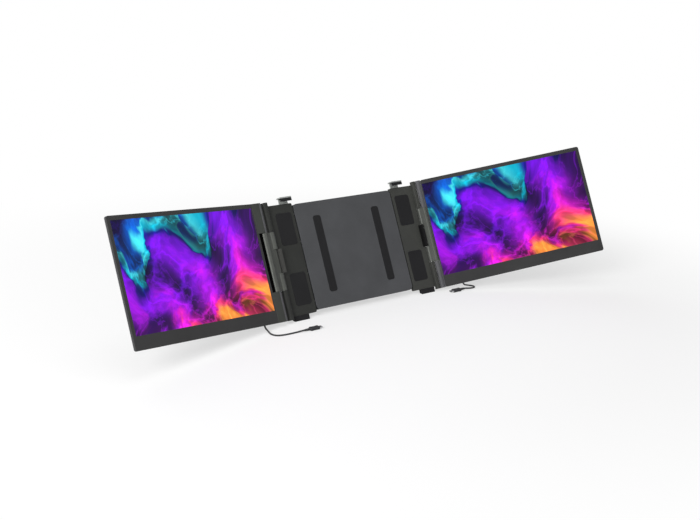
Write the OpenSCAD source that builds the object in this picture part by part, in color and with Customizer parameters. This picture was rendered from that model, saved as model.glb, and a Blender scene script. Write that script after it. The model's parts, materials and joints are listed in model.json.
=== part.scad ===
// Laptop screen extender: a telescopic bracket with two hooks and two side clips, which
// carries two hinged monitors. Every frame below leans back with the bracket. In it x runs to
// the right, y to the back and z up along the hinge axes; z = 0 is the monitors' lower edge.

/* [Screen] */
// Width of the picture on each monitor
active_w = 344.2; // [320:0.1:350]
// Height of the picture on each monitor
active_h = 193.6; // [185:0.1:200]
// Frame beside the picture at the outer edge
bezel_side = 7; // [6:0.5:10]
// Frame above the picture
bezel_top = 8; // [6:0.5:10]
// Height of the chin below the picture
chin_h = 23.8; // [22:0.1:28]
// Corner radius of the monitor cases
case_r = 4; // [2:0.5:6]

/* [Hinges] */
// How far the left monitor is swung in, in degrees
swing_left = 15.5; // [0:0.5:30]
// How far the right monitor is swung in, in degrees
swing_right = 25.5; // [0:0.5:30]
// Distance between the two axes of the left link
span_left = 19.5; // [19.5:0.5:22]
// Distance between the two axes of the right link
span_right = 10; // [10:0.5:11]
// Barrel radius of the left hinge column
barrel_left = 6.5; // [6:0.1:6.5]
// Barrel radius of the right hinge column
barrel_right = 4.8; // [4.5:0.05:4.8]
// Outer hinge axis to the left picture
inner_left = 22; // [21:0.5:26]
// Outer hinge axis to the right picture
inner_right = 7.5; // [7.5:0.5:9]
// Length of both links
link_h = 112; // [100:1:120]

/* [Bracket] */
// Inner hinge axis to the middle of the bracket
axis_x = 185; // [180:1:200]
// Lean of the bracket from upright, in degrees
recline = 26; // [22:1:30]
// Opening of the kickstand, in degrees
kick_angle = 46; // [40:1:52]
// Width of the middle housing
housing_w = 240; // [220:1:240]
// Middle of a top hook to the middle of the bracket
hook_x = 138; // [136:1:146]

/* [Leads] */
// Diameter of the two leads
lead_d = 3.2; // [3:0.1:3.4]

/* [Hidden] */
$fn = 48;

LEFT = -1;
RIGHT = 1;
eps = 0.01;

// Colours
c_case = [0.23, 0.23, 0.235];
c_metal = [0.34, 0.345, 0.35];
c_rubber = [0.07, 0.07, 0.075];
c_steel = [0.62, 0.62, 0.64];
c_board = [0.05, 0.28, 0.16];
c_picture = [0.25, 0.12, 0.62];
c_lead = [0.2, 0.2, 0.21];

// Monitor, measured in y from the plane of its outer hinge axis
case_front = -2.5;
case_split = -0.5;
case_back = 2.5;
bulge_back = 6.5;
case_wall = 1.2;
case_h = chin_h + active_h + bezel_top;
picture_y = -2;
glass_t = 1;
panel_edge = 0.7;
panel_drop = 8;
inlay_deep = 0.4;
inlay_t = 0.6;
inlay_edge = 6;
bulge_z0 = 14;
bulge_z1 = 100;
bulge_inset = 8;
vents = 24;
vent_pitch = 5;
vent_w = 1.8;
vent_z = [86, 96];
board_y = 3.2;
board_t = 1.2;
// Ports in the deep part's outer wall: height and half length; then the buttons' heights
ports = [[30, 4.5], [45, 4.5], [61, 5.7]];
port_y = [2.75, 5.9];
button_z = [75, 88];
button_play = 0.15;

// Hinges
pin_r = 2.5;
press_gap = 0.02;
run_gap = 0.05;
gap = 0.3;
knuckle_h = (case_h - link_h) / 2 - gap;
link_z0 = (case_h - link_h) / 2 + gap / 2;
clip_h = 45.2;
clip_z0 = (case_h - clip_h) / 2;
clip_x = [-6.5, -4.9];
clip_reach = [11, 9];
clip_room = [clip_z0 - 0.5, clip_z0 + clip_h + 0.5];
neck_r = 3.6;
notch_z = [98, 128];
notch_r = 5;
notch_t = 1.2;

// Bracket, measured in y from the plane of the inner hinge axes
panel_front = 1;
panel_back = 13;
panel_t = 2.5;
panel_z0 = 10;
panel_z1 = 216;
tongue_y = 5.5;
tongue_t = 3;
tongue_in = 40;
tongue_h = 50;
tongue_z = [30, 146];
arm_in = 122.5;
column_gap = 0.6;
column_r = 1.5;
arm_back = 9;
arm_z0 = 6;
arm_z1 = 219;
rail_r = 2;
screw_z = [20.5, 113, 205.5];
rail_gap = 0.3;
pad_t = 1.2;
pad_proud = 0.6;

// Hooks
hook_w = 26;
stem_w = 20;
stem_y = 3.8;
stem_t = 2.6;
stem_z0 = 160;
hook_z = 229;
hook_t = 2.5;
lip_y = -7;
lip_t = 1.8;
lip_drop = 6;

// Kickstand, turned about kick_y, kick_z
kick_y = 16.3;
kick_z = 150;
kick_w = 190;
kick_t = 3.2;
kick_barrel_w = 140;
kick_barrel_r = 3;
kick_pin_r = 1.5;
lug_w = 10;
foot_h = 9;

// Where the whole stands: the lowest point of each foot is at world z = 0
lift = 4.5;
stand_h = lift - kick_y * sin(recline) + kick_z * cos(recline);
kick_l = stand_h / cos(kick_angle - recline);

function span(s) = s == LEFT ? span_left : span_right;
function swing(s) = s == LEFT ? swing_left : swing_right;
function barrel_r(s) = s == LEFT ? barrel_left : barrel_right;
function inner(s) = s == LEFT ? inner_left : inner_right;
function arm_out(s) = barrel_r(s) + column_gap;
function case_in(s) = barrel_r(s) + 0.75;
function case_out(s) = inner(s) + active_w + bezel_side;
function bulge_in(s) = inner(s) + 6;
function bulge_out(s) = case_out(s) - bulge_inset;

// Points carried from a monitor's frame into the world
function lean(p) = [
    p.x,
    p.y * cos(recline) + p.z * sin(recline),
    p.z * cos(recline) - p.y * sin(recline)
];
function swung(s, p) = [
    s * (axis_x + (p.x + span(s)) * cos(swing(s)) + p.y * sin(swing(s))),
    p.y * cos(swing(s)) - (p.x + span(s)) * sin(swing(s)),
    p.z
];

// The world's origin is under the middle of everything but the leads
reach_left = -swung(LEFT, [case_out(LEFT), case_back, 0]).x;
reach_right = swung(RIGHT, [case_out(RIGHT), case_back, 0]).x;
reach_front = lean(swung(RIGHT, [case_out(RIGHT), case_front, 0])).y;
reach_back = lean([0, kick_y, kick_z]).y + kick_l * sin(kick_angle - recline) + 4;
shift = [(reach_left - reach_right) / 2, -(reach_front + reach_back) / 2, lift];

function in_world(s, p) = lean(swung(s, p)) + shift;

// Leads: each leaves its gland along the case, then follows these points to its plug
gland_y = 4.5;
gland_l = 9;
gland_x = [51, 45];
lead_drop = 5;
left_route = [
    [-231, -9.6, 7.2], [-230.2, -13.8, 4.4], [-230.2, -18.8, 2.5], [-230.8, -24, 1.6],
    [-231, -29.8, 1.6], [-229.2, -35.6, 1.6], [-225, -39.8, 1.6], [-219, -42.2, 1.6],
    [-212, -43.4, 1.6], [-205, -44, 1.6], [-198, -44.2, 1.6], [-191, -44.2, 1.6],
    [-184.5, -44.4, 1.8], [-178.5, -45.2, 2.5], [-174, -46, 3], [-170, -46.5, 3.2]
];
right_route = [
    [262, -13, 9.8], [267, -12.2, 7.9], [272.5, -9.8, 6], [278, -7.2, 4],
    [283, -5.6, 2.4], [287.8, -8, 1.6], [288.8, -13.5, 1.6], [285.6, -18, 1.6],
    [281, -19.2, 1.6], [275, -18.9, 1.6], [269, -18, 2], [263.5, -17.3, 2.8],
    [258.5, -17, 3.2]
];
lead_sides = 8;

function gland_tip(s) = [gland_x[s == LEFT ? 0 : 1], gland_y, bulge_z0 - gland_l];
function route(s) = concat(
    [in_world(s, gland_tip(s)), in_world(s, gland_tip(s) - [0, 0, lead_drop])],
    s == LEFT ? left_route : right_route
);

// Frames
module at_bracket() {
    translate(shift)
        rotate([-recline, 0, 0])
            children();
}

module on_side(s) {
    mirror([s == LEFT ? 1 : 0, 0, 0])
        children();
}

module at_arm(s) {
    at_bracket()
        on_side(s)
            children();
}

module at_link(s) {
    at_arm(s)
        translate([axis_x, 0, 0])
            rotate([0, 0, -swing(s)])
                children();
}

module at_monitor(s) {
    at_link(s)
        translate([span(s), 0, 0])
            children();
}

module at_kickstand() {
    at_bracket()
        translate([0, kick_y, kick_z])
            rotate([kick_angle, 0, 0])
                children();
}

module below_floor() {
    translate([-700, -400, -100])
        cube([1400, 800, 100]);
}

// Shared shapes
module block(x, y, z) {
    translate([x[0], y[0], z[0]])
        cube([x[1] - x[0], y[1] - y[0], z[1] - z[0]]);
}

// A plate in the x-z plane with round corners, between two depths
module round_plate(x, y, z, r) {
    block([x[0] + r, x[1] - r], y, z);
    block(x, y, [z[0] + r, z[1] - r]);
    for (px = [x[0] + r, x[1] - r], pz = [z[0] + r, z[1] - r])
        translate([px, y[0], pz])
            rotate([-90, 0, 0])
                cylinder(r = r, h = y[1] - y[0]);
}

module upright(r, z) {
    translate([0, 0, z[0]])
        cylinder(r = r, h = z[1] - z[0]);
}

module along_y(r, y) {
    translate([0, y[0], 0])
        rotate([-90, 0, 0])
            cylinder(r = r, h = y[1] - y[0]);
}

module along_x(r, w) {
    rotate([0, 90, 0])
        cylinder(r = r, h = w, center = true);
}

// The two heights of a column that the link leaves free
module each_knuckle() {
    for (z0 = [0, case_h - knuckle_h])
        translate([0, 0, z0])
            children();
}

module rear_screw(head_r, head_h, shank_r, shank_l) {
    difference() {
        along_y(head_r, [-head_h, 0]);
        translate([0, -head_h / 2, 0])
            rotate([-90, 0, 0])
                cylinder(r = head_r / 2, h = head_h, $fn = 6);
    }
    along_y(shank_r, [-head_h - shank_l, -head_h]);
}

// Bracket
module each_bracket_screw() {
    for (x = [8 - housing_w / 2, housing_w / 2 - 8], z = screw_z)
        translate([x, 0, z])
            children();
}

module front_panel() {
    color(c_metal)
        at_bracket()
            difference() {
                union() {
                    round_plate(
                        [-housing_w / 2, housing_w / 2],
                        [panel_front, panel_front + panel_t],
                        [panel_z0, panel_z1],
                        8
                    );
                    each_bracket_screw()
                        along_y(3, [panel_front + panel_t - eps, panel_back - panel_t - 2]);
                }
                lid_pad_shapes(0.1);
                each_bracket_screw()
                    along_y(1.25, [panel_front + panel_t, panel_back]);
            }
}

module lid_pad_shapes(play) {
    for (x = [-72, 72])
        round_plate(
            [x - 9 - play, x + 9 + play],
            [panel_front - pad_proud, panel_front - pad_proud + pad_t],
            [38 - play, 188 + play],
            5
        );
}

module lid_pads() {
    color(c_rubber)
        at_bracket()
            lid_pad_shapes(0);
}

module back_panel() {
    color(c_metal)
        at_bracket()
            difference() {
                union() {
                    round_plate(
                        [-housing_w / 2, housing_w / 2],
                        [panel_back - panel_t, panel_back],
                        [panel_z0, panel_z1],
                        8
                    );
                    for (z = [panel_z0, panel_z1 - 3])
                        block(
                            [8 - housing_w / 2, housing_w / 2 - 8],
                            [panel_front + panel_t, panel_back - panel_t + eps],
                            [z, z + 3]
                        );
                    each_bracket_screw()
                        along_y(3, [panel_back - panel_t - 2, panel_back - panel_t + eps]);
                    rail_cradles();
                    kickstand_lugs();
                }
                each_bracket_screw()
                    along_y(1.5, [0, panel_back + eps]);
                each_bracket_screw()
                    along_y(2.6, [panel_back - 1.4, panel_back + eps]);
                each_rail()
                    along_x(rail_r + press_gap, housing_w);
                translate([0, kick_y, kick_z])
                    along_x(kick_pin_r + press_gap, housing_w);
            }
}

module each_rail() {
    for (z = tongue_z, end = [-rail_r - rail_gap, tongue_h + rail_r + rail_gap])
        translate([0, tongue_y + tongue_t / 2, z + end])
            children();
}

module rail_cradles() {
    for (x = [7 - housing_w / 2, -2, housing_w / 2 - 11])
        each_rail()
            translate([x, 0, -rail_r])
                cube([4, panel_back - panel_t - tongue_y - tongue_t / 2 + eps, 2 * rail_r]);
}

module kickstand_lugs() {
    lug_x = kick_barrel_w / 2 + 0.4;
    for (x = [-lug_x - lug_w, lug_x])
        translate([x, 0, kick_z]) {
            block([0, lug_w], [panel_back - eps, kick_y], [-kick_barrel_r, kick_barrel_r]);
            translate([lug_w / 2, kick_y, 0])
                along_x(kick_barrel_r, lug_w);
        }
}

module slide_rails() {
    color(c_steel)
        at_bracket()
            each_rail()
                along_x(rail_r, housing_w - 6);
}

module slide_pads() {
    color("white")
        at_bracket()
            for (x = [-90, 70], z = tongue_z)
                block(
                    [x, x + 20],
                    [tongue_y + tongue_t + 0.1, panel_back - panel_t],
                    [z + 15, z + 35]
                );
}

module bracket_screws() {
    color(c_steel)
        at_bracket()
            each_bracket_screw()
                translate([0, panel_back - 0.1, 0])
                    rear_screw(2.5, 1.3, 1.2, 6);
}

// Kickstand
module kickstand_pin() {
    color(c_steel)
        at_bracket()
            translate([0, kick_y, kick_z])
                along_x(kick_pin_r, kick_barrel_w + 2 * lug_w + 0.8);
}

module kickstand() {
    plate_l = kick_l - foot_h + 3;
    color(c_metal)
        at_kickstand()
            difference() {
                union() {
                    round_plate(
                        [-kick_w / 2, kick_w / 2],
                        [-2.6, kick_t - 2.6],
                        [-plate_l, -5],
                        6
                    );
                    block([-kick_barrel_w / 2, kick_barrel_w / 2], [-2.6, kick_t - 2.6], [-6, 0]);
                    along_x(kick_barrel_r, kick_barrel_w);
                }
                along_x(kick_pin_r + run_gap, kick_barrel_w + 1);
                round_plate([-kick_w / 2 + 22, kick_w / 2 - 22], [-4, 2], [-plate_l + 26, -24], 8);
            }
}

module kickstand_foot() {
    plate_l = kick_l - foot_h + 3;
    color(c_rubber)
        difference() {
            at_kickstand()
                block([-82, 82], [-3, 1.8], [-kick_l - 4, -plate_l]);
            below_floor();
        }
}

// Arms
module arm(s) {
    r = barrel_r(s);
    color(c_metal)
        at_arm(s)
            difference() {
                union() {
                    round_plate(
                        [arm_in, axis_x - arm_out(s)],
                        [panel_front, arm_back],
                        [arm_z0, arm_z1],
                        3
                    );
                    for (z = tongue_z)
                        block([tongue_in, arm_in + 5], [tongue_y, tongue_y + tongue_t], [z, z + tongue_h]);
                    translate([axis_x, 0, 0])
                        each_knuckle() {
                            upright(r, [0, knuckle_h]);
                            if (s == RIGHT)
                                square_column(s);
                            block([-arm_out(s) - 3, 0], [panel_front, r], [arm_z0, knuckle_h - arm_z0]);
                        }
                }
                translate([axis_x, 0, 0])
                    upright(pin_r + press_gap, [-1, case_h + 1]);
                stem_pocket();
                clip_pocket();
                arm_pad_shape(0.1);
            }
}

// The right inner barrel is filled out to a square column with a round corner
module square_column(s) {
    front = 0.4 - barrel_r(s);
    block([-arm_out(s), 0], [front + column_r, panel_front + 2], [0, knuckle_h]);
    block([column_r - arm_out(s), 0], [front, panel_front], [0, knuckle_h]);
    translate([column_r - arm_out(s), front + column_r, 0])
        upright(column_r, [0, knuckle_h]);
}

module stem_pocket() {
    block(
        [hook_x - stem_w / 2 - 0.2, hook_x + stem_w / 2 + 0.2],
        [stem_y - 0.2, stem_y + stem_t + 0.2],
        [stem_z0 - 10, arm_z1 + 1]
    );
}

module clip_pocket() {
    block(
        [axis_x - 12.1, axis_x],
        [panel_front - 1, 4.1],
        [clip_z0 - 0.1, clip_z0 + clip_h + 0.1]
    );
}

module arm_pad_shape(play) {
    for (z = [24, 140])
        round_plate(
            [129 - play, 165 + play],
            [panel_front - pad_proud, panel_front - pad_proud + pad_t],
            [z - play, z + 62 + play],
            5
        );
}

module arm_pad(s) {
    color(c_rubber)
        at_arm(s)
            arm_pad_shape(0);
}

// A clip is a bent plate set in the arm's pocket; its lip has two notches in the outer edge
module side_clip(s) {
    z = [clip_z0, clip_z0 + clip_h];
    reach = clip_reach[s == LEFT ? 0 : 1];
    color(c_rubber)
        at_arm(s)
            translate([axis_x, 0, 0])
                difference() {
                    union() {
                        block([-12, clip_x[1]], [panel_front, 4], z);
                        block(clip_x, [lip_y, panel_front + eps], z);
                        block([-reach, clip_x[1]], [lip_y, lip_y + lip_t], z);
                    }
                    for (notch = notch_z)
                        translate([clip_x[1] + notch_r - notch_t, 0, notch])
                            along_y(notch_r, [lip_y - 1, lip_y + lip_t + 1]);
                }
}

module foot(s) {
    color(c_rubber)
        difference() {
            at_arm(s)
                block([axis_x - 44, axis_x - 9], [panel_front + 0.5, arm_back - 0.5], [-12, arm_z0]);
            below_floor();
        }
}

module inner_pin(s) {
    color(c_steel)
        at_arm(s)
            translate([axis_x, 0, 0])
                upright(pin_r, [1, case_h - 1]);
}

// Hooks
module top_hook(s) {
    color(c_metal)
        at_arm(s)
            translate([hook_x, 0, 0]) {
                block([-stem_w / 2, stem_w / 2], [stem_y, stem_y + stem_t], [stem_z0, hook_z + eps]);
                block([-hook_w / 2, hook_w / 2], [lip_y, stem_y + stem_t], [hook_z, hook_z + hook_t]);
            }
}

// The rubber lip at the front of the hook, and the pad under its top
module hook_pad(s) {
    color(c_rubber)
        at_arm(s)
            translate([hook_x, 0, 0]) {
                block([-hook_w / 2, hook_w / 2], [lip_y, lip_y + lip_t], [hook_z - lip_drop, hook_z]);
                block([2 - hook_w / 2, hook_w / 2 - 2], [lip_y + lip_t - eps, panel_front], [hook_z - 1, hook_z]);
            }
}

// Links, each with a thinner inner barrel beside the side clip
module link(s) {
    r = barrel_r(s);
    web = s == LEFT ? 3 : 4.2;
    z = [link_z0, link_z0 + link_h - gap];
    color(c_metal)
        at_link(s)
            difference() {
                union() {
                    upright(r, [z[0], clip_room[0]]);
                    upright(r, [clip_room[1], z[1]]);
                    upright(neck_r, z);
                    translate([span(s), 0, 0])
                        upright(r, z);
                    block([0, span(s)], [-web, web], z);
                }
                upright(pin_r + run_gap, [0, case_h]);
                translate([span(s), 0, 0])
                    upright(pin_r + run_gap, [0, case_h]);
            }
}

// Monitors
module bezel(s) {
    color(c_case)
        at_monitor(s)
            difference() {
                round_plate([case_in(s), case_out(s)], [case_front, case_split], [0, case_h], case_r);
                block(
                    [inner(s), inner(s) + active_w],
                    [case_front - 1, case_split + 1],
                    [chin_h, chin_h + active_h]
                );
                panel_space(s, [picture_y - 0.1, case_split + 1], 0.1);
                if (s == LEFT)
                    inlay_space(
                        case_in(LEFT) - 1,
                        [case_front - 1, case_front + inlay_deep + inlay_t],
                        0
                    );
                each_cover_screw(s)
                    along_y(1 + press_gap, [case_front + 0.8, case_split + 1]);
            }
}

// Beside its link the left frame has a pocket, open to the link, for a black strip
module inlay_space(x0, y, play) {
    block(
        [x0, inner_left - inlay_edge - play],
        y,
        [link_z0 + play, link_z0 + link_h - gap - play]
    );
}

module left_inlay() {
    color("black")
        at_monitor(LEFT)
            inlay_space(case_in(LEFT), [case_front + inlay_deep, case_front + inlay_deep + inlay_t], 0.05);
}

module panel_space(s, y, play) {
    block(
        [inner(s) - panel_edge - play, inner(s) + active_w + panel_edge + play],
        y,
        [chin_h - panel_drop - play, chin_h + active_h + panel_edge + play]
    );
}

module display(s) {
    color(c_picture)
        at_monitor(s)
            panel_space(s, [picture_y, picture_y + glass_t], 0);
}

module backlight(s) {
    color("silver")
        at_monitor(s)
            panel_space(s, [picture_y + glass_t + 0.1, 1.2], 0);
}

module rear_cover(s) {
    r = barrel_r(s);
    color(c_case)
        at_monitor(s)
            difference() {
                union() {
                    difference() {
                        cover_outside(s);
                        cover_inside(s);
                    }
                    board_posts(s);
                    each_cover_screw(s)
                        along_y(2.6, [case_split, case_back]);
                    cover_knuckles(s);
                }
                upright(pin_r + press_gap, [-1, case_h + 1]);
                for (port = ports)
                    translate([bulge_out(s), 0, port[0]])
                        block([-9, 1], port_y + [-0.05, 0.05], [-port[1] - 0.1, port[1] + 0.1]);
                for (vent = [0 : vents - 1])
                    translate([board_x(s)[0] + vent * vent_pitch, 0, 0])
                        block([0, vent_w], [bulge_back - 2, bulge_back + 1], vent_z);
                buttons_at(s)
                    block([-3, 1], [3.3 - button_play, 5.3 + button_play], [-4.5 - button_play, 4.5 + button_play]);
                each_cover_screw(s)
                    along_y(1.1, [case_split - 1, case_back + 1]);
                each_cover_screw(s)
                    along_y(2.1, [case_back - 0.8, case_back + 1]);
            }
}

// Thin case with a deeper lower part, whose upper edge slopes back to the thin case
module cover_outside(s) {
    round_plate([case_in(s), case_out(s)], [case_split, case_back], [0, case_h], case_r);
    translate([bulge_in(s), 0, 0])
        rotate([90, 0, 90])
            linear_extrude(bulge_out(s) - bulge_in(s))
                polygon([
                    [case_back - 1, bulge_z0],
                    [bulge_back, bulge_z0],
                    [bulge_back, bulge_z1],
                    [case_back - 1, bulge_z1 + 12]
                ]);
}

module cover_inside(s) {
    block(
        [case_in(s) + case_wall, case_out(s) - case_wall],
        [case_split - 1, 1.5],
        [case_wall, case_h - case_wall]
    );
    block(
        [bulge_in(s) + case_wall, bulge_out(s) - case_wall],
        [0, bulge_back - 1],
        [bulge_z0 + case_wall, bulge_z1 - case_wall]
    );
}

module cover_knuckles(s) {
    r = barrel_r(s);
    each_knuckle() {
        upright(r, [0, knuckle_h]);
        block([0, case_in(s)], [case_front, case_back], [0, knuckle_h]);
        block([0, case_in(s) + 1], [case_split, case_back], [case_r, knuckle_h - case_r]);
    }
}

module board_posts(s) {
    each_board_corner(s)
        along_y(2.2, [board_y + board_t, bulge_back - 1 + eps]);
}

module each_board_corner(s) {
    for (x = concat(board_x(s), port_board_x(s)), z = [30, 80])
        translate([x, 0, z])
            children();
}

function board_x(s) = [bulge_in(s) + 12, bulge_in(s) + 122];
function port_board_x(s) = [bulge_out(s) - 38, bulge_out(s) - 20];

module each_cover_screw(s) {
    for (x = [case_in(s) + 7, (case_in(s) + case_out(s)) / 2, case_out(s) - 4], z = [6, case_h - 4])
        translate([x, 0, z])
            children();
}

module outer_pin(s) {
    color(c_steel)
        at_monitor(s)
            upright(pin_r, [1, case_h - 1]);
}

// Ramps from the left column's barrels down to the frame round the picture
module left_hinge_cover() {
    color(c_metal)
        at_monitor(LEFT)
            difference() {
                each_knuckle()
                    linear_extrude(knuckle_h)
                        polygon([
                            [0.5, 0.1 - barrel_left],
                            [4, 0.4 - barrel_left],
                            [9, -5.2],
                            [14, -3.8],
                            [18.5, case_front],
                            [0.5, case_front]
                        ]);
                upright(barrel_left, [-1, case_h + 1]);
            }
}

module driver_board(s) {
    color(c_board)
        at_monitor(s) {
            block(
                [board_x(s)[0] - 5, board_x(s)[1] + 5],
                [board_y, board_y + board_t],
                [25, 85]
            );
            for (chip = [[20, 40, 16], [50, 44, 12], [80, 38, 9], [48, 66, 8], [22, 66, 7]])
                block(
                    [board_x(s)[0] + chip.x, board_x(s)[0] + chip.x + chip.z],
                    [board_y - 1.3, board_y + eps],
                    [chip.y, chip.y + chip.z]
                );
        }
}

module buttons_at(s) {
    for (z = button_z)
        translate([bulge_out(s), 0, z])
            children();
}

module port_board(s) {
    color(c_board)
        at_monitor(s) {
            block([bulge_out(s) - 42, bulge_out(s) - 9], [board_y, board_y + board_t], [22, 94]);
            buttons_at(s)
                block([-12, -3.5], [2.9, 5.2], [-3, 3]);
        }
}

module ports(s) {
    color(c_steel)
        at_monitor(s)
            for (port = ports)
                translate([bulge_out(s), 0, port[0]])
                    difference() {
                        round_plate_x([-9, -0.2], port_y, [-port[1], port[1]], 1.5);
                        round_plate_x([-8, 0.8], port_y + [0.3, -0.3], [0.3 - port[1], port[1] - 0.3], 1.25);
                    }
}

// A bar along x whose y-z section has round corners
module round_plate_x(x, y, z, r) {
    block(x, [y[0] + r, y[1] - r], z);
    block(x, y, [z[0] + r, z[1] - r]);
    for (py = [y[0] + r, y[1] - r], pz = [z[0] + r, z[1] - r])
        translate([(x[0] + x[1]) / 2, py, pz])
            along_x(r, x[1] - x[0]);
}

module button(s, z) {
    color(c_rubber)
        at_monitor(s)
            translate([bulge_out(s), 0, z]) {
                block([-case_wall - 0.2, 0.8], [3.3, 5.3], [-4.5, 4.5]);
                block([-case_wall - 1.5, -case_wall - 0.1], [2.9, 5.4], [-5.6, 5.6]);
            }
}

module cover_screws(s) {
    color(c_steel)
        at_monitor(s)
            each_cover_screw(s)
                translate([0, case_back - 0.05, 0])
                    rear_screw(2, 0.7, 1, 3.2);
}

// Leads
module cable_gland(s) {
    color(c_rubber)
        at_monitor(s)
            translate([gland_tip(s).x, gland_y, bulge_z0 - gland_l])
                cylinder(r1 = 1.75, r2 = 1.95, h = gland_l);
}

function unit(v) = v / norm(v);
function heading(p, i) =
    i == 0 ? unit(p[1] - p[0]) :
    i == len(p) - 1 ? unit(p[i] - p[i - 1]) :
    unit(unit(p[i + 1] - p[i]) + unit(p[i] - p[i - 1]));
// A direction square to the lead, carried along it from ring to ring without twist
function across(p, i) =
    i == 0 ? unit(cross(heading(p, 0), [1, 0, 0])) :
    let (t = heading(p, i), v = across(p, i - 1))
    unit(v - t * (v * t));
function ring(p, i, r) =
    let (u = across(p, i), v = cross(heading(p, i), u))
    [for (k = [0 : lead_sides - 1])
        p[i] + r * (u * cos((k + 0.5) * 360 / lead_sides) + v * sin((k + 0.5) * 360 / lead_sides))];

module lead(s) {
    p = route(s);
    n = len(p);
    points = [for (i = [0 : n - 1]) each ring(p, i, lead_d / 2)];
    sides = [for (i = [0 : n - 2], k = [0 : lead_sides - 1])
        let (m = (k + 1) % lead_sides, a = i * lead_sides, b = a + lead_sides)
        each [[a + k, b + k, b + m], [a + k, b + m, a + m]]];
    ends = [
        [for (k = [0 : lead_sides - 1]) k],
        [for (k = [lead_sides - 1 : -1 : 0]) (n - 1) * lead_sides + k]
    ];
    color(c_lead)
        polyhedron(points, concat(ends, sides));
}

module at_plug(s) {
    end = route(s)[len(route(s)) - 1];
    translate(end)
        mirror([s == LEFT ? 0 : 1, 0, 0])
            children();
}

module plug(s) {
    color(c_rubber)
        at_plug(s)
            difference() {
                union() {
                    rotate([0, 90, 0])
                        cylinder(r1 = 1.8, r2 = 2.6, h = 12);
                    round_plate_x([12, 32], [-5.2, 5.2], [-3, 3], 2.2);
                }
                block([31, 33], [-4.2, 4.2], [-1.25, 1.25]);
            }
}

module plug_contact(s) {
    color(c_steel)
        at_plug(s)
            difference() {
                round_plate_x([31, 38.6], [-4.15, 4.15], [-1.2, 1.2], 1.1);
                round_plate_x([34, 39], [-3.85, 3.85], [-0.9, 0.9], 0.85);
            }
}

module left_arm() { arm(LEFT); }
module left_arm_pad() { arm_pad(LEFT); }
module left_side_clip() { side_clip(LEFT); }
module left_foot() { foot(LEFT); }
module left_inner_pin() { inner_pin(LEFT); }
module right_arm() { arm(RIGHT); }
module right_arm_pad() { arm_pad(RIGHT); }
module right_side_clip() { side_clip(RIGHT); }
module right_foot() { foot(RIGHT); }
module right_inner_pin() { inner_pin(RIGHT); }
module left_top_hook() { top_hook(LEFT); }
module left_hook_pad() { hook_pad(LEFT); }
module right_top_hook() { top_hook(RIGHT); }
module right_hook_pad() { hook_pad(RIGHT); }
module left_link() { link(LEFT); }
module right_link() { link(RIGHT); }
module left_bezel() { bezel(LEFT); }
module left_display() { display(LEFT); }
module left_backlight() { backlight(LEFT); }
module left_rear_cover() { rear_cover(LEFT); }
module left_outer_pin() { outer_pin(LEFT); }
module left_driver_board() { driver_board(LEFT); }
module left_port_board() { port_board(LEFT); }
module left_ports() { ports(LEFT); }
module left_cover_screws() { cover_screws(LEFT); }
module left_power_button() { button(LEFT, button_z[0]); }
module left_menu_button() { button(LEFT, button_z[1]); }
module left_cable_gland() { cable_gland(LEFT); }
module left_cable() { lead(LEFT); }
module left_plug() { plug(LEFT); }
module left_plug_contact() { plug_contact(LEFT); }
module right_bezel() { bezel(RIGHT); }
module right_display() { display(RIGHT); }
module right_backlight() { backlight(RIGHT); }
module right_rear_cover() { rear_cover(RIGHT); }
module right_outer_pin() { outer_pin(RIGHT); }
module right_driver_board() { driver_board(RIGHT); }
module right_port_board() { port_board(RIGHT); }
module right_ports() { ports(RIGHT); }
module right_cover_screws() { cover_screws(RIGHT); }
module right_power_button() { button(RIGHT, button_z[0]); }
module right_menu_button() { button(RIGHT, button_z[1]); }
module right_cable_gland() { cable_gland(RIGHT); }
module right_cable() { lead(RIGHT); }
module right_plug() { plug(RIGHT); }
module right_plug_contact() { plug_contact(RIGHT); }

front_panel();
back_panel();
lid_pads();
slide_rails();
slide_pads();
bracket_screws();
kickstand_pin();
kickstand();
kickstand_foot();
left_arm();
left_arm_pad();
left_side_clip();
left_foot();
left_inner_pin();
right_arm();
right_arm_pad();
right_side_clip();
right_foot();
right_inner_pin();
left_top_hook();
left_hook_pad();
right_top_hook();
right_hook_pad();
left_link();
right_link();
left_bezel();
left_display();
left_backlight();
left_rear_cover();
left_outer_pin();
left_hinge_cover();
left_inlay();
left_driver_board();
left_port_board();
left_ports();
left_cover_screws();
left_power_button();
left_menu_button();
left_cable_gland();
left_cable();
left_plug();
left_plug_contact();
right_bezel();
right_display();
right_backlight();
right_rear_cover();
right_outer_pin();
right_driver_board();
right_port_board();
right_ports();
right_cover_screws();
right_power_button();
right_menu_button();
right_cable_gland();
right_cable();
right_plug();
right_plug_contact();
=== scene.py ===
import json
import math

import bmesh
import bpy
from mathutils import Matrix, Vector


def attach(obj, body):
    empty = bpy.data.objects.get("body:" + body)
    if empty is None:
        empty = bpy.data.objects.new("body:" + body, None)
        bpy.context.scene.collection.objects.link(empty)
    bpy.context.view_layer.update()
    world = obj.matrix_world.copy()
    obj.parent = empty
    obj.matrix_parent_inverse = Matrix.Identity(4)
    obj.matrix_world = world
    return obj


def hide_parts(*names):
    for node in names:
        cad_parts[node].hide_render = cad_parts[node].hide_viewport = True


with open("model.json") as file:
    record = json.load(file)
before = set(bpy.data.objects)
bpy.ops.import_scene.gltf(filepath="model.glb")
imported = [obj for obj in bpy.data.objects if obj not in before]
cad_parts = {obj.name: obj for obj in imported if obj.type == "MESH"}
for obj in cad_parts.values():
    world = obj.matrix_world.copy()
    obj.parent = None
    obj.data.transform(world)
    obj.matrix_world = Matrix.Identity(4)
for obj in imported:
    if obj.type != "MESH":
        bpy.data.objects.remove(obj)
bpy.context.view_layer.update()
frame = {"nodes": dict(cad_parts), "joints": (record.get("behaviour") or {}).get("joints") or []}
parts = frame["nodes"]

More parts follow.
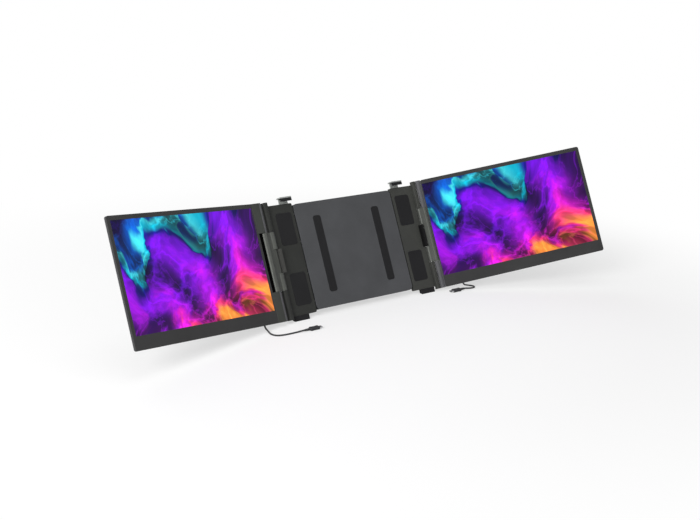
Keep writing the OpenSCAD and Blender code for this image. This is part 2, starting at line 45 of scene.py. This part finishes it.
# Camera. It stands to the left of the screens and above them, a little over two metres off,
# and its tilt is the small slant that the upright edges of the screens have.
eye = Vector((-1.4498, -1.7447, 0.7801))
aim = Vector((-0.0332, 0.0, 0.1041))
camera_tilt = math.radians(2.58)

camera = bpy.data.objects.new("camera", bpy.data.cameras.new("camera"))
bpy.context.scene.collection.objects.link(camera)
camera.data.sensor_width = 36
camera.data.lens = 63.61
camera.data.clip_end = 60
facing = (aim - eye).to_track_quat("-Z", "Y").to_matrix().to_4x4()
camera.matrix_world = Matrix.Translation(eye) @ facing @ Matrix.Rotation(camera_tilt, 4, "Z")
bpy.context.scene.camera = camera
bpy.context.scene.view_settings.view_transform = "Standard"

# Floor and light. A white table that keeps a soft shadow under the stand and fades to plain
# white round it. A large soft box on the left lights the right-hand monitor most; weaker ones
# overhead, behind and on the right, and plain light all round, fill the shadows.
floor_half = 25.0
floor_white = 0.95
shadow_share = 0.5
shadow_near = 0.5
shadow_far = 1.1
# Each lamp: its place, its width and its watts
lamps = {
    "key": ((-3.2, -1.2, 1.7), 1.9, 130),
    "top": ((0.0, 0.2, 3.0), 2.5, 18),
    "fill": ((2.0, -2.6, 2.0), 1.8, 5),
    "back": ((0.3, 2.4, 2.2), 2.0, 22),
}
sky = 0.26


def new_material(name):
    """An empty material, its node tree and its output node."""
    material = bpy.data.materials.new(name)
    material.use_nodes = True
    tree = material.node_tree
    tree.nodes.clear()
    out = tree.nodes.new("ShaderNodeOutputMaterial")
    return material, tree, out


def maths(tree, operation, a, b=None, clamp=False):
    """A maths node; a and b are numbers or sockets."""
    node = tree.nodes.new("ShaderNodeMath")
    node.operation = operation
    node.use_clamp = clamp
    for socket, value in zip(node.inputs, (a, b)):
        if isinstance(value, bpy.types.NodeSocket):
            tree.links.new(value, socket)
        elif value is not None:
            socket.default_value = value
    return node.outputs[0]


def seen_directly(tree):
    """1 where a ray comes from the camera, a reflection or glass."""
    ray = tree.nodes.new("ShaderNodeLightPath").outputs
    mirrored = maths(tree, "ADD", ray["Is Glossy Ray"], ray["Is Transmission Ray"])
    return maths(tree, "ADD", ray["Is Camera Ray"], mirrored, clamp=True)


floor_mesh = bpy.data.meshes.new("floor")
floor_mesh.from_pydata(
    [(x * floor_half, y * floor_half, 0) for x, y in ((-1, -1), (1, -1), (1, 1), (-1, 1))],
    [],
    [(0, 1, 2, 3)],
)
floor = bpy.data.objects.new("floor", floor_mesh)
bpy.context.scene.collection.objects.link(floor)

pale_floor, tree, out = new_material("pale_floor")
paint = tree.nodes.new("ShaderNodeBsdfDiffuse")
paint.inputs["Color"].default_value = (floor_white, floor_white, floor_white, 1)
glow = tree.nodes.new("ShaderNodeEmission")
glow.inputs["Color"].default_value = (1, 1, 1, 1)
lift = tree.nodes.new("ShaderNodeMixShader")
spot = tree.nodes.new("ShaderNodeTexCoord").outputs["Object"]
from_middle = tree.nodes.new("ShaderNodeVectorMath")
from_middle.operation = "LENGTH"
tree.links.new(spot, from_middle.inputs[0])
whiter = tree.nodes.new("ShaderNodeMapRange")
whiter.interpolation_type = "SMOOTHSTEP"
for label, number in (
    ("From Min", shadow_near), ("From Max", shadow_far),
    ("To Min", 1 - shadow_share), ("To Max", 1),
):
    whiter.inputs[label].default_value = number
tree.links.new(from_middle.outputs["Value"], whiter.inputs["Value"])
lit_share = maths(tree, "MULTIPLY", seen_directly(tree), whiter.outputs["Result"])
tree.links.new(lit_share, lift.inputs["Fac"])
tree.links.new(paint.outputs[0], lift.inputs[1])
tree.links.new(glow.outputs[0], lift.inputs[2])
tree.links.new(lift.outputs[0], out.inputs["Surface"])
floor_mesh.materials.append(pale_floor)

world = bpy.data.worlds.new("studio")
bpy.context.scene.world = world
world.use_nodes = True
sky_tree = world.node_tree
backdrop = sky_tree.nodes["Background"]
backdrop.inputs["Color"].default_value = (1, 1, 1, 1)
brighter = maths(sky_tree, "MULTIPLY", seen_directly(sky_tree), 1 - sky)
sky_tree.links.new(maths(sky_tree, "ADD", brighter, sky), backdrop.inputs["Strength"])

for name, (place, width, watts) in lamps.items():
    lamp = bpy.data.objects.new(name, bpy.data.lights.new(name, "AREA"))
    lamp.data.size = width
    lamp.data.energy = watts
    lamp.location = place
    lamp.rotation_euler = (-Vector(place)).to_track_quat("-Z", "Y").to_euler()
    bpy.context.scene.collection.objects.link(lamp)

# Leads. Two short round leads in soft grey sheath, each moulded into the lower edge of its
# monitor's deep part. They drop to the table and run to a moulded plug on each side.
lead_r = 0.0016
# Points along each lead, in millimetres
routes = {
    "left": [
        (-231.5, -4.8, 15.4), (-231.5, -6.9, 10.9), (-231, -9.6, 7.2), (-230.2, -13.8, 4.4),
        (-230.2, -18.8, 2.5), (-230.8, -24, 1.6), (-231, -29.8, 1.6), (-229.2, -35.6, 1.6),
        (-225, -39.8, 1.6), (-219, -42.2, 1.6), (-212, -43.4, 1.6), (-205, -44, 1.6),
        (-198, -44.2, 1.6), (-191, -44.2, 1.6), (-184.5, -44.4, 1.8), (-178.5, -45.2, 2.5),
        (-174, -46, 3), (-170, -46.5, 3.2),
    ],
    "right": [
        (259.2, -9.3, 17.6), (259.2, -11.5, 13.1), (262, -13, 9.8), (267, -12.2, 7.9),
        (272.5, -9.8, 6), (278, -7.2, 4), (283, -5.6, 2.4), (287.8, -8, 1.6),
        (288.8, -13.5, 1.6), (285.6, -18, 1.6), (281, -19.2, 1.6), (275, -18.9, 1.6),
        (269, -18, 2), (263.5, -17.3, 2.8), (258.5, -17, 3.2),
    ],
}
outward = {"left": -1, "right": 1}


def linear(*rgb):
    """An sRGB colour from 0 to 255 as the renderer's linear one."""
    return tuple(
        (v / 255 / 12.92 if v <= 10 else ((v / 255 + 0.055) / 1.055) ** 2.4) for v in rgb
    ) + (1,)


def new_group(name, inputs, outputs):
    """A shader node group with float inputs (name, value) and the outputs (name, type)."""
    group = bpy.data.node_groups.new(name, "ShaderNodeTree")
    for label, value in inputs:
        socket = group.interface.new_socket(label, in_out="INPUT", socket_type="NodeSocketFloat")
        socket.default_value = value
    for label, kind in outputs:
        group.interface.new_socket(label, in_out="OUTPUT", socket_type=kind)
    return group, group.nodes.new("NodeGroupInput"), group.nodes.new("NodeGroupOutput")


def noise(tree, coordinates, scale, detail):
    """A noise texture's value; scale is a number or a socket."""
    node = tree.nodes.new("ShaderNodeTexNoise")
    node.inputs["Detail"].default_value = detail
    if isinstance(scale, bpy.types.NodeSocket):
        tree.links.new(scale, node.inputs["Scale"])
    else:
        node.inputs["Scale"].default_value = scale
    tree.links.new(coordinates, node.inputs["Vector"])
    return node.outputs["Fac"]


# grain: the fine bite of moulded plastic or blasted metal, and the slow mottling over it
grain, given, result = new_group(
    "grain",
    [("Fineness", 3000), ("Patch", 18)],
    [("Height", "NodeSocketFloat"), ("Mottle", "NodeSocketFloat")],
)
place = grain.nodes.new("ShaderNodeTexCoord").outputs["Object"]
grain.links.new(noise(grain, place, given.outputs["Fineness"], 3), result.inputs["Height"])
grain.links.new(noise(grain, place, given.outputs["Patch"], 5), result.inputs["Mottle"])

# edge_rub: how far an edge is rubbed bright, broken up so that it is never one clean line
turn_gain = 5
break_gain = 1.4
edge_rub, given, result = new_group(
    "edge_rub",
    [("Width", 0.0005), ("Break", 220)],
    [("Rubbed", "NodeSocketFloat")],
)
rounded = edge_rub.nodes.new("ShaderNodeBevel")
rounded.samples = 6
edge_rub.links.new(given.outputs["Width"], rounded.inputs["Radius"])
facet = edge_rub.nodes.new("ShaderNodeNewGeometry").outputs["Normal"]
alike = edge_rub.nodes.new("ShaderNodeVectorMath")
alike.operation = "DOT_PRODUCT"
edge_rub.links.new(rounded.outputs[0], alike.inputs[0])
edge_rub.links.new(facet, alike.inputs[1])
apart = maths(edge_rub, "SUBTRACT", 1, alike.outputs["Value"])
turned = maths(edge_rub, "MULTIPLY", apart, turn_gain, clamp=True)
place = edge_rub.nodes.new("ShaderNodeTexCoord").outputs["Object"]
patchy = noise(edge_rub, place, given.outputs["Break"], 4)
broken = maths(edge_rub, "MULTIPLY", patchy, break_gain, clamp=True)
edge_rub.links.new(maths(edge_rub, "MULTIPLY", turned, broken), result.inputs["Rubbed"])


def use_group(tree, group, **values):
    """A node of a shared group, with its inputs set."""
    node = tree.nodes.new("ShaderNodeGroup")
    node.node_tree = group
    for label, value in values.items():
        node.inputs[label].default_value = value
    return node


def blend_colours(tree, share, a, b, how="MIX"):
    """A mix of two colours; each is a colour or a socket, and so is the share."""
    node = tree.nodes.new("ShaderNodeMix")
    node.data_type = "RGBA"
    node.blend_type = how
    for socket, value in ((node.inputs[0], share), (node.inputs[6], a), (node.inputs[7], b)):
        if isinstance(value, bpy.types.NodeSocket):
            tree.links.new(value, socket)
        else:
            socket.default_value = value
    return node.outputs[2]


def spread(tree, value, low, high, start=0.3, end=0.7):
    """A value that lies mostly from start to end, stretched from low to high."""
    node = tree.nodes.new("ShaderNodeMapRange")
    tree.links.new(value, node.inputs["Value"])
    limits = {"From Min": start, "From Max": end, "To Min": low, "To Max": high}
    for label, number in limits.items():
        node.inputs[label].default_value = number
    return node.outputs["Result"]


worn_gain = 1.9
worn_lift = 0.02
rough_swing = 0.06
grain_strength = 0.6
relief_strength = 0.8
relief_depth = 0.0003


def finish(
    name, colour, rough, metal=0.0, shine=0.1, fineness=3000, depth=0.00004, patch=18, mottle=0.12,
    rub=0.35, rub_width=0.0005, coat=0.0, relief=None,
):
    """A solid finish: a colour with slow mottling, fine grain in its bump and rubbed edges.
    relief is a function that adds a coarser height to the tree and gives its socket."""
    material, tree, out = new_material(name)
    shader = tree.nodes.new("ShaderNodeBsdfPrincipled")
    shader.inputs["Metallic"].default_value = metal
    shader.inputs["Specular IOR Level"].default_value = shine
    shader.inputs["Coat Weight"].default_value = coat
    skin = use_group(tree, grain, Fineness=fineness, Patch=patch)
    edges = use_group(tree, edge_rub, Width=rub_width)
    dark = tuple(c * (1 - mottle) for c in colour[:3]) + (1,)
    light = tuple(min(1, c * (1 + mottle)) for c in colour[:3]) + (1,)
    bright = tuple(min(1, c * worn_gain + worn_lift) for c in colour[:3]) + (1,)
    body = blend_colours(tree, spread(tree, skin.outputs["Mottle"], 0, 1), dark, light)
    worn = maths(tree, "MULTIPLY", edges.outputs["Rubbed"], rub)
    tree.links.new(blend_colours(tree, worn, body, bright), shader.inputs["Base Color"])
    roughness = spread(tree, skin.outputs["Mottle"], rough - rough_swing, rough + rough_swing)
    tree.links.new(roughness, shader.inputs["Roughness"])
    bump = tree.nodes.new("ShaderNodeBump")
    bump.inputs["Strength"].default_value = grain_strength
    bump.inputs["Distance"].default_value = depth
    tree.links.new(skin.outputs["Height"], bump.inputs["Height"])
    if relief is not None:
        coarse = tree.nodes.new("ShaderNodeBump")
        coarse.inputs["Strength"].default_value = relief_strength
        coarse.inputs["Distance"].default_value = relief_depth
        tree.links.new(relief(tree), coarse.inputs["Height"])
        tree.links.new(coarse.outputs[0], bump.inputs["Normal"])
    tree.links.new(bump.outputs[0], shader.inputs["Normal"])
    tree.links.new(shader.outputs[0], out.inputs["Surface"])
    return material


def new_piece(name, mesh_or_curve, material, body):
    """An object of the scene's own that rides on a body of the part."""
    piece = bpy.data.objects.new(name, mesh_or_curve)
    bpy.context.scene.collection.objects.link(piece)
    mesh_or_curve.materials.append(material)
    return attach(piece, body)


def sleeve(name, rings, points=40):
    """A closed tube along x through rings (x, half width y, half height z, squareness)."""
    mesh = bmesh.new()
    loops = []
    for x, half_y, half_z, squareness in rings:
        loop = []
        for i in range(points):
            angle = 2 * math.pi * (i + 0.5) / points
            c, s = math.cos(angle), math.sin(angle)
            reach = (abs(c) ** squareness + abs(s) ** squareness) ** (-1 / squareness)
            loop.append(mesh.verts.new((x, half_y * c * reach, half_z * s * reach)))
        loops.append(loop)
    for a, b in zip(loops, loops[1:]):
        for i in range(points):
            j = (i + 1) % points
            mesh.faces.new((a[i], a[j], b[j], b[i]))
    mesh.faces.new(list(reversed(loops[0])))
    mesh.faces.new(loops[-1])
    bmesh.ops.recalc_face_normals(mesh, faces=mesh.faces)
    for face in mesh.faces:
        face.smooth = len(face.verts) == 4
    data = bpy.data.meshes.new(name)
    mesh.to_mesh(data)
    mesh.free()
    return data


sheath = finish("lead_sheath", linear(62, 62, 63), 0.5, fineness=2500, depth=0.00002, rub=0.1)
plug_grip = finish("plug_grip", linear(58, 58, 60), 0.55, fineness=2200, depth=0.00005, rub=0.25)

# Rings of a plug from its tail to its mouth: nine ribs that widen, then the flat grip
rib_count = 9
rib_start = 0.0002
rib_pitch = 0.0012
tail_r = 0.0018
tail_growth = 0.00007
rib_profile = ((0, -0.0001), (0.0002, 0.0002), (0.0007, 0.0002), (0.0009, -0.0001))
ribs = [
    (
        rib_start + rib_pitch * i + along,
        tail_r + tail_growth * i + height,
        tail_r + tail_growth * i + height,
        2,
    )
    for i in range(rib_count)
    for along, height in rib_profile
]
grip = [
    (0.0112, 0.0024, 0.0024, 2.2), (0.0119, 0.0034, 0.0026, 3), (0.0124, 0.0046, 0.0029, 4),
    (0.0132, 0.0051, 0.003, 5), (0.0145, 0.0052, 0.003, 5), (0.019, 0.0049, 0.0028, 5),
    (0.026, 0.0049, 0.0028, 5), (0.0302, 0.0052, 0.003, 5), (0.0314, 0.0051, 0.0029, 5),
    (0.032, 0.0046, 0.0025, 5),
]

for side, route in routes.items():
    line = bpy.data.curves.new(f"{side}_lead", "CURVE")
    line.dimensions = "3D"
    line.bevel_depth = lead_r
    line.bevel_resolution = 5
    line.resolution_u = 6
    line.use_fill_caps = True
    spline = line.splines.new("BEZIER")
    spline.bezier_points.add(len(route) - 1)
    for knot, place in zip(spline.bezier_points, route):
        knot.co = Vector(place) / 1000
        knot.handle_left_type = knot.handle_right_type = "AUTO"
    lead = new_piece(f"{side}_lead", line, sheath, f"{side}_monitor")
    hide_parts(f"{side}_cable")

    handle = sleeve(f"{side}_plug_grip", ribs + grip)
    turn = Matrix.Scale(outward[side] * -1, 4, (1, 0, 0))
    handle.transform(Matrix.Translation(Vector(route[-1]) / 1000) @ turn)
    if outward[side] > 0:
        handle.flip_normals()
    plug = new_piece(f"{side}_plug_grip", handle, plug_grip, f"{side}_monitor")
    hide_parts(f"{side}_plug")

# Bracket housing. Two pressed aluminium shells, blasted and anodised dark grey, screwed
# together over four steel rails, with two long rubber strips along the front.


weld_gap = 0.000002
flat_turn = math.radians(1)
sharp_turn = math.radians(35)
smooth_weight = 80


def dress(material, names):
    """Gives CAD parts a material in all their slots."""
    for name in names:
        part = parts[name]
        for slot in part.material_slots:
            slot.material = material


def soften(names, width, steps=2):
    """Rounds the sharp edges of CAD parts, as a cutter or mould leaves them."""
    for name in names:
        part = parts[name]
        weld = part.modifiers.new("weld", "WELD")
        weld.merge_threshold = weld_gap
        flat = part.modifiers.new("flat", "DECIMATE")
        flat.decimate_type = "DISSOLVE"
        flat.angle_limit = flat_turn
        edge = part.modifiers.new("edge", "BEVEL")
        edge.width = width
        edge.segments = steps
        edge.limit_method = "ANGLE"
        edge.angle_limit = sharp_turn
        shade = part.modifiers.new("shade", "WEIGHTED_NORMAL")
        shade.weight = smooth_weight


anodised = finish(
    "anodised_housing", linear(74, 75, 77), 0.42, metal=0.4, fineness=2600, depth=0.00003, rub=0.5
)
strip_rubber = finish(
    "strip_rubber", linear(36, 36, 37), 0.8, fineness=1500, depth=0.00006, rub=0.15
)
brushed_steel = finish(
    "brushed_steel", linear(176, 176, 178), 0.3, metal=0.9, fineness=5000, depth=0.00001, rub=0.3
)
slide_plastic = finish("slide_plastic", linear(214, 212, 205), 0.45, rub=0.1)

dress(anodised, ["front_panel", "back_panel"])
dress(strip_rubber, ["lid_pads"])
dress(brushed_steel, ["slide_rails", "bracket_screws", "kickstand_pin"])
dress(slide_plastic, ["slide_pads"])
soften(["front_panel", "back_panel"], 0.0005)
soften(["lid_pads"], 0.0004)

# Kickstand. An aluminium frame that turns on a steel pin between two lugs, with a rubber
# strip along its lower edge.
dress(anodised, ["kickstand"])
dress(strip_rubber, ["kickstand_foot"])
soften(["kickstand", "kickstand_foot"], 0.0006)

# Arms and hooks. Each arm is a die-cast plate whose outer edge carries the hinge barrels.
# They have the pebbled skin of cast metal under thick paint. The hooks are a paler grey, and
# the side clips are skinned in rubber, black on the right.
pebbles_per_metre = 900


def pebbles(tree):
    """Round bumps a millimetre across, close together."""
    cells = tree.nodes.new("ShaderNodeTexVoronoi")
    cells.feature = "SMOOTH_F1"
    cells.inputs["Scale"].default_value = pebbles_per_metre
    cells.inputs["Smoothness"].default_value = 0.4
    place = tree.nodes.new("ShaderNodeTexCoord").outputs["Object"]
    tree.links.new(place, cells.inputs["Vector"])
    return maths(tree, "SUBTRACT", 1, cells.outputs["Distance"])


# One pebbled paint for each arm. The left copy is darker than the right: painted shade, because
# the left hinge barrels stand in shade.
pebbled = {
    side: finish(
        f"{side}_pebbled_paint", colour, 0.45, metal=0.1, fineness=3500, depth=0.00002,
        rub=0.45, relief=pebbles,
    )
    for side, colour in (("left", linear(48, 49, 47)), ("right", linear(62, 63, 60)))
}
hook_paint = finish("hook_paint", linear(150, 153, 150), 0.45, metal=0.2, depth=0.00003, rub=0.5)
side_rubber = {
    "left": finish("grey_rubber", linear(68, 68, 66), 0.6, depth=0.00005, rub=0.2),
    "right": finish("black_rubber", linear(22, 22, 22), 0.7, depth=0.00005, rub=0.2),
}

for side in outward:
    dress(pebbled[side], [f"{side}_arm"])
    dress(hook_paint, [f"{side}_top_hook"])
    dress(side_rubber[side], [f"{side}_side_clip"])
    dress(strip_rubber, [f"{side}_arm_pad", f"{side}_hook_pad", f"{side}_foot"])
    dress(brushed_steel, [f"{side}_inner_pin", f"{side}_outer_pin"])
    soften([f"{side}_arm", f"{side}_side_clip", f"{side}_foot"], 0.0004)
    soften([f"{side}_top_hook"], 0.0005, steps=3)
    soften([f"{side}_arm_pad", f"{side}_hook_pad"], 0.0003)

# Links. The plates between the two hinge columns, extruded aluminium in a smoother and
# lighter grey than the arms.
link_paint = finish(
    "link_paint", linear(82, 84, 80), 0.4, metal=0.25, fineness=4200, depth=0.00002, rub=0.4
)

for side in outward:
    dress(link_paint, [f"{side}_link"])
    soften([f"{side}_link"], 0.0004)

# Monitor cases. The frame round the picture is fine-grained black-grey plastic with a deep
# chin; the back is a shell of the same, thicker where the electronics are. The hinge barrels
# on it are painted lighter.
lean = math.radians(26)
swing = {"left": math.radians(15.5), "right": math.radians(25.5)}
hinge_mid = 0.1127
column_w = {"left": 0.0072, "right": 0.0055}
column_lift = {"left": 2.0, "right": 1.75}


def monitor_place(side):
    """The monitor's own frame: x to the viewer's right, y to the back, z up the case."""
    joint = next(j for j in frame["joints"] if j["name"] == f"{side}_monitor_hinge")
    turn = Matrix.Rotation(-lean, 4, "X") @ Matrix.Rotation(-outward[side] * swing[side], 4, "Z")
    return Matrix.Translation(joint["pos_m"]) @ turn @ Matrix.Translation((0, 0, -hinge_mid))


def place_in(tree, frame_matrix, scale=1.0):
    """The place on a part, measured in a frame of its own and scaled."""
    there = frame_matrix.inverted()
    mapping = tree.nodes.new("ShaderNodeMapping")
    mapping.inputs["Location"].default_value = there.to_translation() * scale
    mapping.inputs["Rotation"].default_value = there.to_euler("XYZ")
    mapping.inputs["Scale"].default_value = (scale,) * 3
    place = tree.nodes.new("ShaderNodeTexCoord").outputs["Object"]
    tree.links.new(place, mapping.inputs["Vector"])
    return mapping.outputs[0]


def lighten_column(material, side):
    """Lightens what lies within the width of the hinge column."""
    tree = material.node_tree
    split = tree.nodes.new("ShaderNodeSeparateXYZ")
    tree.links.new(place_in(tree, monitor_place(side)), split.inputs[0])
    off_axis = maths(tree, "ABSOLUTE", split.outputs["X"])
    near = maths(tree, "LESS_THAN", off_axis, column_w[side])
    base = tree.nodes["Principled BSDF"].inputs["Base Color"]
    paler = (column_lift[side],) * 3 + (1,)
    plain = base.links[0].from_socket
    tree.links.new(blend_colours(tree, near, plain, paler, how="MULTIPLY"), base)


frame_plastic = finish(
    "frame_plastic", linear(58, 58, 58), 0.4, fineness=3800, depth=0.00002, rub=0.5
)
column_paint = finish("column_paint", linear(61, 63, 60), 0.4, metal=0.15, depth=0.00002, rub=0.5)
# Near-black, with almost no shine, on the left monitor's inner edge beside the link: painted shade
# for the shadowed recess there.
painted_shade_strip = finish("painted_shade_strip", linear(3, 3, 3), 0.5, shine=0.01, rub=0.1)
button_plastic = finish("button_plastic", linear(52, 52, 54), 0.4, rub=0.4)

for side in outward:
    dress(frame_plastic, [f"{side}_bezel"])
    back_plastic = finish(
        f"{side}_back_plastic", linear(66, 66, 68), 0.45, fineness=2200, depth=0.00005, rub=0.4
    )
    lighten_column(back_plastic, side)
    dress(back_plastic, [f"{side}_rear_cover"])
    dress(button_plastic, [f"{side}_power_button", f"{side}_menu_button"])
    dress(brushed_steel, [f"{side}_ports", f"{side}_cover_screws", f"{side}_plug_contact"])
    dress(plug_grip, [f"{side}_cable_gland"])
    soften([f"{side}_bezel", f"{side}_rear_cover"], 0.0004)
    soften([f"{side}_power_button", f"{side}_menu_button"], 0.0002)
dress(column_paint, ["left_hinge_cover"])
# The left inlay carries the painted shade of the recess beside the link.
dress(painted_shade_strip, ["left_inlay"])
soften(["left_hinge_cover", "left_inlay"], 0.0002)

# Boards and backlight inside each monitor, out of sight: green lacquered boards and the
# silvered back of the light sheet.
board_green = finish("board_green", linear(30, 84, 52), 0.35, coat=0.4, patch=120, rub=0.2)
light_sheet = finish("light_sheet", linear(190, 190, 193), 0.3, metal=0.6, rub=0.2)

for side in outward:
    dress(board_green, [f"{side}_driver_board", f"{side}_port_board"])
    dress(light_sheet, [f"{side}_backlight"])

# Displays. Lit glass with a faint matt skin, showing a plain marbled design of poured
# colours: deep blue and cyan, violet, magenta and a little orange.
picture_inner = {"left": 0.022, "right": 0.0075}
picture_w = 0.3442
picture_h = 0.1936
chin_h = 0.0238


def picture_corner(side):
    """The picture's lower left corner as the viewer sees it, in the monitor's frame."""
    left = picture_inner[side] if side == "right" else -picture_inner[side] - picture_w
    return Matrix.Translation((left, 0, chin_h))


# marbled: poured colours drawn into each other, with bright folds and thin veins
marbled, given, result = new_group("marbled", [], [("Color", "NodeSocketColor")])
marbled.interface.new_socket("Place", in_out="INPUT", socket_type="NodeSocketVector")
place = given.outputs["Place"]


def stirred(tree, vector, scale, detail, amount):
    """A place pushed about by a noise of its own."""
    push = tree.nodes.new("ShaderNodeTexNoise")
    push.inputs["Scale"].default_value = scale
    push.inputs["Detail"].default_value = detail
    tree.links.new(vector, push.inputs["Vector"])
    by = tree.nodes.new("ShaderNodeVectorMath")
    by.operation = "SCALE"
    by.inputs["Scale"].default_value = amount
    tree.links.new(push.outputs["Color"], by.inputs[0])
    total = tree.nodes.new("ShaderNodeVectorMath")
    total.operation = "ADD"
    tree.links.new(vector, total.inputs[0])
    tree.links.new(by.outputs[0], total.inputs[1])
    return total.outputs[0]


def bands(tree, vector, scale, distortion, detail):
    """Soft slanting bands, bent by a noise of their own."""
    node = tree.nodes.new("ShaderNodeTexWave")
    node.bands_direction = "DIAGONAL"
    for label, value in (("Scale", scale), ("Distortion", distortion), ("Detail", detail)):
        node.inputs[label].default_value = value
    tree.links.new(vector, node.inputs["Vector"])
    return node.outputs["Fac"]


# The hue runs from the upper left to the lower right, and shifts with each fold and pour.
# Places are measured in picture heights.
run_across = 0.24
run_up = -0.6
run_start = 0.66
pour_shift = 0.14
fold_shift = 0.14
flow = stirred(marbled, place, scale=1.2, detail=1, amount=0.9)
flow = stirred(marbled, flow, scale=3.4, detail=3, amount=0.2)
folds = bands(marbled, flow, scale=0.75, distortion=2.2, detail=3)
split = marbled.nodes.new("ShaderNodeSeparateXYZ")
marbled.links.new(flow, split.inputs[0])
along = maths(marbled, "MULTIPLY", split.outputs["X"], run_across)
down = maths(marbled, "MULTIPLY", split.outputs["Z"], run_up)
slope = maths(marbled, "ADD", maths(marbled, "ADD", along, down), run_start)
pour = spread(marbled, noise(marbled, flow, 1.9, 4), 0, pour_shift, 0.46, 0.52)
stirred_in = maths(marbled, "ADD", pour, maths(marbled, "MULTIPLY", folds, fold_shift))
hue_place = maths(marbled, "ADD", slope, stirred_in)
hues = marbled.nodes.new("ShaderNodeValToRGB")
hues.color_ramp.interpolation = "EASE"
stops = [
    (0.0, linear(30, 6, 96)), (0.12, linear(0, 96, 214)), (0.17, linear(70, 236, 255)),
    (0.23, linear(0, 196, 228)), (0.3, linear(24, 20, 150)), (0.37, linear(110, 6, 214)),
    (0.46, linear(128, 8, 226)), (0.64, linear(172, 12, 234)), (0.8, linear(216, 20, 208)),
    (0.91, linear(255, 56, 124)), (1.0, linear(255, 146, 60)),
]
for position, colour in stops[2:]:
    hues.color_ramp.elements.new(position)
for element, (position, colour) in zip(hues.color_ramp.elements, stops):
    element.position = position
    element.color = colour
marbled.links.new(hue_place, hues.inputs["Fac"])
darkest = 0.1
fine = spread(marbled, noise(marbled, flow, 9, 6), 0.65, 1.3)
shade = maths(marbled, "MULTIPLY", maths(marbled, "ADD", folds, darkest), fine)
shaded = blend_colours(marbled, 1.0, hues.outputs["Color"], shade, how="MULTIPLY")


def veins(tree, vector, scale, sharpness, strength):
    """Thin bright lines where a noise crosses its middle."""
    off = maths(tree, "ABSOLUTE", maths(tree, "SUBTRACT", noise(tree, vector, scale, 5), 0.5))
    line = maths(tree, "SUBTRACT", 1, maths(tree, "MULTIPLY", off, sharpness), clamp=True)
    return maths(tree, "MULTIPLY", maths(tree, "POWER", line, 2), strength)


coarse = veins(marbled, flow, scale=2.6, sharpness=16, strength=0.6)
thin = veins(marbled, flow, scale=6.5, sharpness=22, strength=0.35)
lit = blend_colours(marbled, coarse, shaded, hues.outputs["Color"], how="ADD")
lit = blend_colours(marbled, thin, lit, hues.outputs["Color"], how="SCREEN")
marbled.links.new(lit, result.inputs["Color"])

dark_glass = (0.004, 0.004, 0.005, 1)
glass_shine = 0.08

for side in outward:
    screen, tree, out = new_material(f"{side}_screen")
    shader = tree.nodes.new("ShaderNodeBsdfPrincipled")
    shader.inputs["Base Color"].default_value = dark_glass
    shader.inputs["Specular IOR Level"].default_value = glass_shine
    shader.inputs["Emission Strength"].default_value = 1.0
    picture = use_group(tree, marbled)
    on_picture = place_in(tree, monitor_place(side) @ picture_corner(side), 1 / picture_h)
    tree.links.new(on_picture, picture.inputs["Place"])
    tree.links.new(picture.outputs["Color"], shader.inputs["Emission Color"])
    skin = use_group(tree, grain, Fineness=6000, Patch=9)
    tree.links.new(spread(tree, skin.outputs["Mottle"], 0.26, 0.34), shader.inputs["Roughness"])
    tree.links.new(shader.outputs[0], out.inputs["Surface"])
    dress(screen, [f"{side}_display"])
